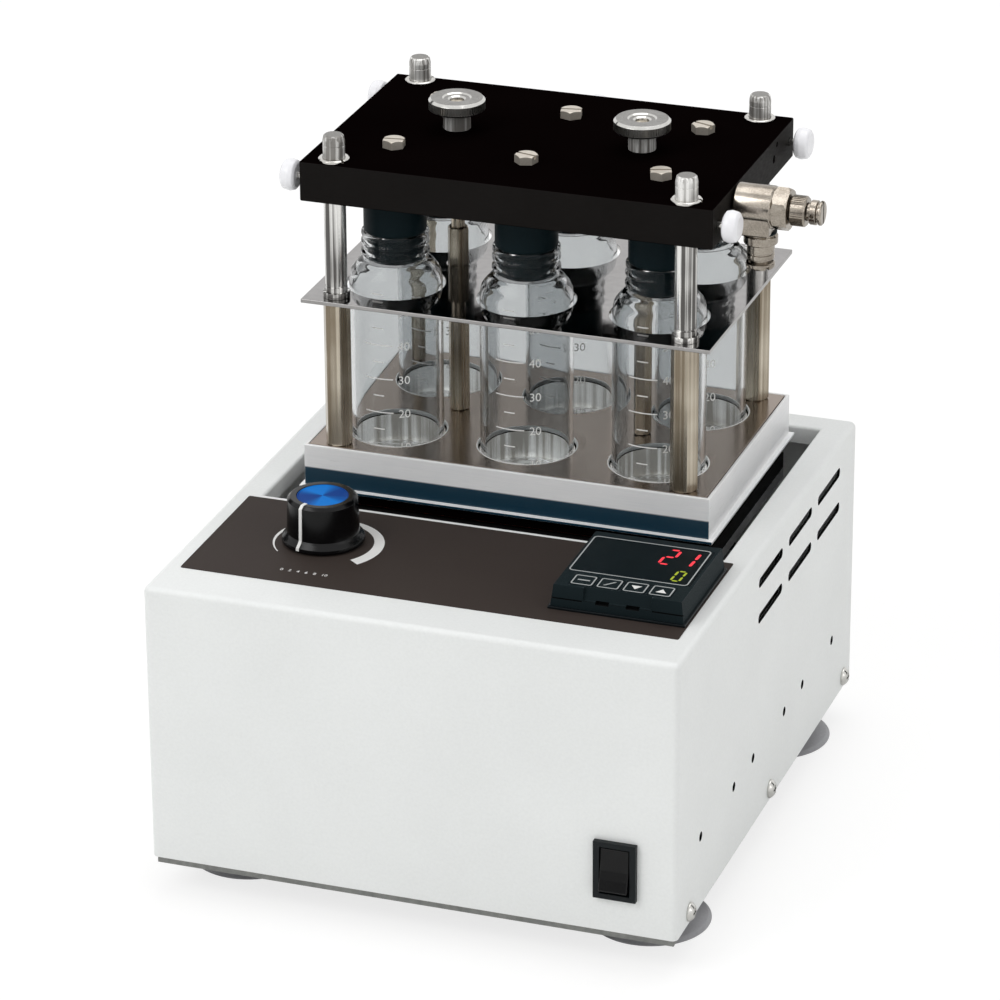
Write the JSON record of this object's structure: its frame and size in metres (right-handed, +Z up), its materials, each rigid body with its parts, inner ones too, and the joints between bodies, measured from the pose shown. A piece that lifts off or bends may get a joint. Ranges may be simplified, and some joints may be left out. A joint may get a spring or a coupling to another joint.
{
  "type": "vial evaporator",
  "caption": "Heated orbital shaker for glass vials, with a lift-off nitrogen manifold on guide rods, a speed knob and a temperature controller.",
  "frame": {"origin": "on the bench, under the middle of the overall box", "axes": "+X to the right of the front panel, +Y to the back, +Z up"},
  "size_m": [0.2088, 0.227, 0.2564],
  "materials": {
    "white_enamel": "smooth baked enamel on sheet steel",
    "zinc_steel": "zinc plated sheet steel",
    "grey_rubber": "moulded grey rubber",
    "label_film": "printed polyester film",
    "controller_black": "fine textured moulded plastic",
    "controller_window": "smoked clear window",
    "key_rubber": "moulded keys",
    "knob_black": "moulded black plastic",
    "switch_black": "moulded black plastic",
    "bright_screws": "bright plated screws",
    "stainless_tray": "bright stainless sheet",
    "brushed_plate": "brushed stainless sheet",
    "mirror_shelf": "mirror polished stainless sheet",
    "nickel_brass": "nickel plated brass",
    "polished_rod": "ground and polished steel",
    "block_aluminium": "milled aluminium",
    "insulation_fibre": "black fibre board",
    "heater_silicone": "silicone heater mat",
    "clear_glass": "clear borosilicate glass",
    "black_anodised": "black anodised aluminium",
    "black_rubber": "moulded black rubber",
    "white_nylon": "moulded white nylon",
    "belt_rubber": "black drive belt",
    "bearing_bronze": "sintered bronze",
    "steel_dark": "turned steel",
    "motor_case": "painted motor case"
  },
  "bodies": {
    "housing": {"cover": "white_enamel", "base_plate": "zinc_steel", "rear_panel": "white_enamel", "housing_screws": "bright_screws", "suction_feet": "grey_rubber", "panel_label": "label_film", "controller_case": "controller_black", "controller_bezel": "controller_black", "controller_window": "controller_window", "speed_potentiometer": "zinc_steel", "switch_housing": "switch_black", "power_inlet": "switch_black", "mechanism_deck": "zinc_steel", "crank_bearings": "bearing_bronze", "drive_motor": "motor_case", "drive_belt": "belt_rubber"},
    "rocker": {"switch_rocker": "switch_black"},
    "speed_knob": {"speed_knob": "knob_black"},
    "motor_rotor": {"motor_pulley": "block_aluminium"},
    "crank": {"drive_crank": "steel_dark", "crank_pulley": "block_aluminium"},
    "platform": {"platform_plate": "block_aluminium", "platform_bearings": "bearing_bronze", "insulation_board": "insulation_fibre", "heater_mat": "heater_silicone", "heat_block": "block_aluminium", "tray_skirt": "stainless_tray", "top_plate": "brushed_plate", "corner_posts": "nickel_brass", "centre_posts": "nickel_brass", "shelf_plate": "mirror_shelf", "guide_rods": "polished_rod", "vial_front_left": "clear_glass", "vial_front_middle": "clear_glass", "vial_front_right": "clear_glass", "vial_rear_left": "clear_glass", "vial_rear_middle": "clear_glass", "vial_rear_right": "clear_glass"},
    "manifold": {"manifold_block": "black_anodised", "rod_bushings": "polished_rod", "stoppers": "black_rubber", "nozzle_screws": "nickel_brass"},
    "idler_crank_left": {"idler_crank_left": "steel_dark"},
    "idler_crank_right": {"idler_crank_right": "steel_dark"},
    "idler_crank_rear": {"idler_crank_rear": "steel_dark"},
    "controller_key_1": {"controller_key_1": "key_rubber"},
    "controller_key_2": {"controller_key_2": "key_rubber"},
    "controller_key_3": {"controller_key_3": "key_rubber"},
    "controller_key_4": {"controller_key_4": "key_rubber"},
    "clamp_nut_left": {"clamp_nut_left": "polished_rod"},
    "clamp_nut_right": {"clamp_nut_right": "polished_rod"},
    "thumb_screw_front_left": {"thumb_screw_front_left": "white_nylon"},
    "thumb_screw_front_right": {"thumb_screw_front_right": "white_nylon"},
    "thumb_screw_rear_left": {"thumb_screw_rear_left": "white_nylon"},
    "thumb_screw_rear_right": {"thumb_screw_rear_right": "white_nylon"},
    "rear_port_plug": {"rear_port_plug": "white_nylon"},
    "valve_body": {"valve_body": "nickel_brass"},
    "valve_lock_nut": {"valve_lock_nut": "nickel_brass"},
    "valve_needle": {"valve_needle": "nickel_brass"},
    "release_ring": {"release_ring": "nickel_brass"}
  },
  "joints": [
    {"name": "rocker_tilt", "type": "hinge", "parent": "housing", "child": "rocker", "pos_m": [0.0717, -0.10754, 0.0385], "axis": [1, 0, 0], "range_deg": [0, 20]},
    {"name": "knob_turn", "type": "hinge", "parent": "housing", "child": "speed_knob", "pos_m": [-0.0563, -0.05264, 0.125], "axis": [0, 0, 1], "range_deg": [-300, 0]},
    {"name": "platform_turn", "type": "hinge", "parent": "crank", "child": "platform", "pos_m": [-0.0042, 0.04321, 0.096], "axis": [0, 0, 1], "continuous": true},
    {"name": "crank_spin", "type": "hinge", "parent": "housing", "child": "crank", "pos_m": [-0.0042, 0.03921, 0.067], "axis": [0, 0, 1], "continuous": true},
    {"name": "motor_spin", "type": "hinge", "parent": "housing", "child": "motor_rotor", "pos_m": [-0.0482, 0.03921, 0.067], "axis": [0, 0, 1], "continuous": true},
    {"name": "idler_spin_left", "type": "hinge", "parent": "housing", "child": "idler_crank_left", "pos_m": [-0.0642, 0.00821, 0.067], "axis": [0, 0, 1], "continuous": true},
    {"name": "idler_spin_right", "type": "hinge", "parent": "housing", "child": "idler_crank_right", "pos_m": [0.0558, 0.00821, 0.067], "axis": [0, 0, 1], "continuous": true},
    {"name": "idler_spin_rear", "type": "hinge", "parent": "housing", "child": "idler_crank_rear", "pos_m": [-0.0042, 0.07321, 0.067], "axis": [0, 0, 1], "continuous": true},
    {"name": "key_1_press", "type": "slide", "parent": "housing", "child": "controller_key_1", "axis": [0, 0, -1], "range_m": [0, 0.0004], "stiffness_N_per_m": 900},
    {"name": "key_2_press", "type": "slide", "parent": "housing", "child": "controller_key_2", "axis": [0, 0, -1], "range_m": [0, 0.0004], "stiffness_N_per_m": 900},
    {"name": "key_3_press", "type": "slide", "parent": "housing", "child": "controller_key_3", "axis": [0, 0, -1], "range_m": [0, 0.0004], "stiffness_N_per_m": 900},
    {"name": "key_4_press", "type": "slide", "parent": "housing", "child": "controller_key_4", "axis": [0, 0, -1], "range_m": [0, 0.0004], "stiffness_N_per_m": 900},
    {"name": "manifold_lift", "type": "slide", "parent": "platform", "child": "manifold", "axis": [0, 0, 1], "range_m": [0, 0.024]},
    {"name": "clamp_nut_left_turn", "type": "hinge", "parent": "manifold", "child": "clamp_nut_left", "pos_m": [-0.0392, 0.04321, 0.25], "axis": [0, 0, 1], "range_deg": [0, 1080]},
    {"name": "clamp_nut_right_turn", "type": "hinge", "parent": "manifold", "child": "clamp_nut_right", "pos_m": [0.0308, 0.04321, 0.25], "axis": [0, 0, 1], "range_deg": [0, 1080]},
    {"name": "thumb_screw_front_left_turn", "type": "hinge", "parent": "manifold", "child": "thumb_screw_front_left", "pos_m": [-0.0862, -0.00114, 0.2369], "axis": [-1, 0, 0], "range_deg": [0, 720]},
    {"name": "thumb_screw_front_right_turn", "type": "hinge", "parent": "manifold", "child": "thumb_screw_front_right", "pos_m": [0.0778, -0.00114, 0.2369], "axis": [1, 0, 0], "range_deg": [0, 720]},
    {"name": "thumb_screw_rear_left_turn", "type": "hinge", "parent": "manifold", "child": "thumb_screw_rear_left", "pos_m": [-0.0862, 0.08756, 0.2369], "axis": [-1, 0, 0], "range_deg": [0, 720]},
    {"name": "thumb_screw_rear_right_turn", "type": "hinge", "parent": "manifold", "child": "thumb_screw_rear_right", "pos_m": [0.0778, 0.08756, 0.2369], "axis": [1, 0, 0], "range_deg": [0, 720]},
    {"name": "rear_port_plug_turn", "type": "hinge", "parent": "manifold", "child": "rear_port_plug", "pos_m": [-0.0042, 0.09921, 0.2369], "axis": [0, 1, 0], "range_deg": [0, 720]},
    {"name": "valve_swivel", "type": "hinge", "parent": "manifold", "child": "valve_body", "pos_m": [0.0808, 0.02121, 0.2369], "axis": [1, 0, 0], "range_deg": [-50, 230]},
    {"name": "valve_lock_nut_turn", "type": "hinge", "parent": "valve_body", "child": "valve_lock_nut", "pos_m": [0.0958, 0.02121, 0.2369], "axis": [1, 0, 0], "range_deg": [0, 720]},
    {"name": "valve_needle_turn", "type": "hinge", "parent": "valve_body", "child": "valve_needle", "pos_m": [0.1008, 0.02121, 0.2369], "axis": [1, 0, 0], "range_deg": [0, 2880]},
    {"name": "release_ring_press", "type": "slide", "parent": "valve_body", "child": "release_ring", "axis": [0, 0, 1], "range_m": [0, 0.001], "stiffness_N_per_m": 600}
  ],
  "couplings": [
    {"joint": "crank_spin", "follows": "platform_turn", "ratio": -1},
    {"joint": "motor_spin", "follows": "platform_turn", "ratio": -2.4444},
    {"joint": "idler_spin_left", "follows": "platform_turn", "ratio": -1},
    {"joint": "idler_spin_right", "follows": "platform_turn", "ratio": -1},
    {"joint": "idler_spin_rear", "follows": "platform_turn", "ratio": -1}
  ]
}
